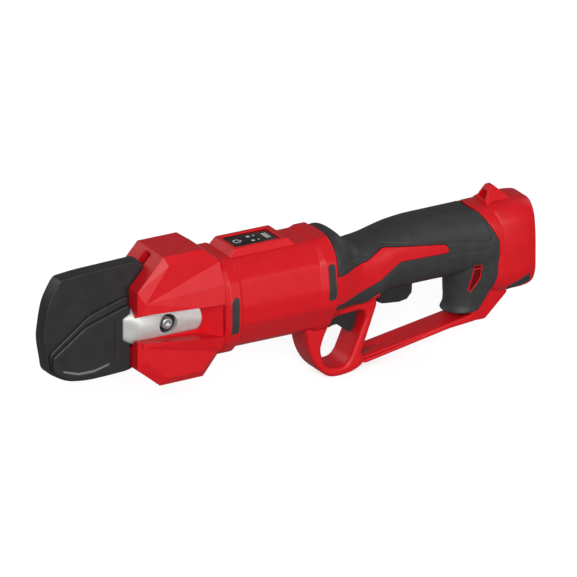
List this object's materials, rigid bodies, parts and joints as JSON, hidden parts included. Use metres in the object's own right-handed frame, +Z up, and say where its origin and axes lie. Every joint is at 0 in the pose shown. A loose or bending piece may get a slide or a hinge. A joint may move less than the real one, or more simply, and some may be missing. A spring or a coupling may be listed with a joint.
{
  "type": "battery electric pruner",
  "caption": "Battery electric pruner with a motor-driven bypass blade, blade sheath, finger-loop trigger, hand guard bar and rear battery socket.",
  "frame": {"origin": "middle of the bounding box, at the level of the finger loop's lowest face", "axes": "-X towards the blades along the motor axis, +Z up through the control panel, +Y to the tool's right side"},
  "size_m": [0.35, 0.0612, 0.1086],
  "materials": {
    "red_shell": "satin moulded",
    "soft_overmold": "fine grain",
    "black_trim": "satin",
    "black_plastic": "satin moulded",
    "gloss_panel": "gloss",
    "cast_silver": "bead blasted",
    "blade_steel": "ground",
    "bright_steel": "plated",
    "gear_steel": "sintered",
    "dark_steel": "phosphated",
    "copper": "bare",
    "board_green": "solder mask"
  },
  "bodies": {
    "body": {"left_shell": "red_shell", "right_shell": "red_shell", "left_head_cover": "red_shell", "right_head_cover": "red_shell", "left_overmold": "soft_overmold", "right_overmold": "soft_overmold", "left_rear_pad": "soft_overmold", "right_rear_pad": "soft_overmold", "left_front_insert": "black_trim", "right_front_insert": "black_trim", "left_rear_insert": "black_trim", "right_rear_insert": "black_trim", "trigger_sensor": "black_plastic", "terminal_block": "black_plastic", "motor_end_cap": "black_plastic", "control_panel": "gloss_panel", "gear_head": "cast_silver", "counter_blade": "blade_steel", "pivot_bolt": "bright_steel", "pivot_nut": "bright_steel", "front_pinion_bearing": "bright_steel", "rear_pinion_bearing": "bright_steel", "front_motor_bearing": "bright_steel", "rear_motor_bearing": "bright_steel", "trigger_pin": "bright_steel", "trigger_spring": "bright_steel", "shell_screw_1": "bright_steel", "shell_screw_2": "bright_steel", "shell_screw_3": "bright_steel", "shell_screw_4": "bright_steel", "shell_screw_5": "bright_steel", "shell_screw_6": "bright_steel", "cover_screw_1": "bright_steel", "cover_screw_2": "bright_steel", "gear_case": "gear_steel", "motor_can": "dark_steel", "stator": "copper", "positive_contact": "copper", "negative_contact": "copper", "panel_board": "board_green", "main_board": "board_green"},
    "blade": {"moving_blade": "blade_steel", "sector_gear": "gear_steel"},
    "output_drive": {"bevel_pinion": "gear_steel", "output_carrier": "gear_steel"},
    "middle_drive": {"middle_carrier": "gear_steel"},
    "motor_drive": {"rotor": "dark_steel", "motor_shaft": "bright_steel"},
    "trigger": {"trigger": "black_plastic"},
    "power_button": {"power_button": "gloss_panel"},
    "sheath": {"sheath": "black_plastic"},
    "output_planet_1": {"output_planet_1": "gear_steel"},
    "output_planet_2": {"output_planet_2": "gear_steel"},
    "output_planet_3": {"output_planet_3": "gear_steel"},
    "input_planet_1": {"input_planet_1": "gear_steel"},
    "input_planet_2": {"input_planet_2": "gear_steel"},
    "input_planet_3": {"input_planet_3": "gear_steel"}
  },
  "joints": [
    {"name": "motor_spin", "type": "hinge", "parent": "body", "child": "motor_drive", "pos_m": [-0.0095, 0, 0.062], "axis": [1, 0, 0], "range_deg": [0, 2500]},
    {"name": "middle_spin", "type": "hinge", "parent": "body", "child": "middle_drive", "pos_m": [-0.0375, 0, 0.062], "axis": [1, 0, 0], "range_deg": [0, 501]},
    {"name": "output_spin", "type": "hinge", "parent": "body", "child": "output_drive", "pos_m": [-0.0645, 0, 0.062], "axis": [1, 0, 0], "range_deg": [0, 101]},
    {"name": "blade_swing", "type": "hinge", "parent": "body", "child": "blade", "pos_m": [-0.0902, 0, 0.062], "axis": [0, 1, 0], "range_deg": [0, 50.5]},
    {"name": "sheath_slide", "type": "slide", "parent": "body", "child": "sheath", "axis": [-1, 0, 0], "range_m": [0, 0.1205]},
    {"name": "trigger_pull", "type": "hinge", "parent": "body", "child": "trigger", "pos_m": [0.0945, 0, 0.0598], "axis": [0, 1, 0], "range_deg": [0, 7], "stiffness_Nm_per_rad": 1.2, "springref_deg": -6.88, "deforming": ["trigger_spring"]},
    {"name": "power_press", "type": "slide", "parent": "body", "child": "power_button", "axis": [0, 0, -1], "range_m": [0, 0.0006], "stiffness_N_per_m": 1500, "springref_m": -0.0005},
    {"name": "output_planet_1_spin", "type": "hinge", "parent": "output_drive", "child": "output_planet_1", "pos_m": [-0.0445, 0.0105, 0.062], "axis": [1, 0, 0], "range_deg": [-268.67, 0]},
    {"name": "output_planet_2_spin", "type": "hinge", "parent": "output_drive", "child": "output_planet_2", "pos_m": [-0.0445, -0.00525, 0.07109], "axis": [1, 0, 0], "range_deg": [-268.67, 0]},
    {"name": "output_planet_3_spin", "type": "hinge", "parent": "output_drive", "child": "output_planet_3", "pos_m": [-0.0445, -0.00525, 0.05291], "axis": [1, 0, 0], "range_deg": [-268.67, 0]},
    {"name": "input_planet_1_spin", "type": "hinge", "parent": "middle_drive", "child": "input_planet_1", "pos_m": [-0.0315, 0.0105, 0.062], "axis": [1, 0, 0], "range_deg": [-1335.33, 0]},
    {"name": "input_planet_2_spin", "type": "hinge", "parent": "middle_drive", "child": "input_planet_2", "pos_m": [-0.0315, -0.00525, 0.07109], "axis": [1, 0, 0], "range_deg": [-1335.33, 0]},
    {"name": "input_planet_3_spin", "type": "hinge", "parent": "middle_drive", "child": "input_planet_3", "pos_m": [-0.0315, -0.00525, 0.05291], "axis": [1, 0, 0], "range_deg": [-1335.33, 0]}
  ],
  "couplings": [
    {"joint": "middle_spin", "follows": "motor_spin", "ratio": 0.2},
    {"joint": "output_spin", "follows": "motor_spin", "ratio": 0.04},
    {"joint": "blade_swing", "follows": "motor_spin", "ratio": 0.02},
    {"joint": "sheath_slide", "follows": "motor_spin", "m_per_rad": 0.0027502},
    {"joint": "output_planet_1_spin", "follows": "motor_spin", "ratio": -0.10667},
    {"joint": "output_planet_2_spin", "follows": "motor_spin", "ratio": -0.10667},
    {"joint": "output_planet_3_spin", "follows": "motor_spin", "ratio": -0.10667},
    {"joint": "input_planet_1_spin", "follows": "motor_spin", "ratio": -0.53333},
    {"joint": "input_planet_2_spin", "follows": "motor_spin", "ratio": -0.53333},
    {"joint": "input_planet_3_spin", "follows": "motor_spin", "ratio": -0.53333}
  ]
}
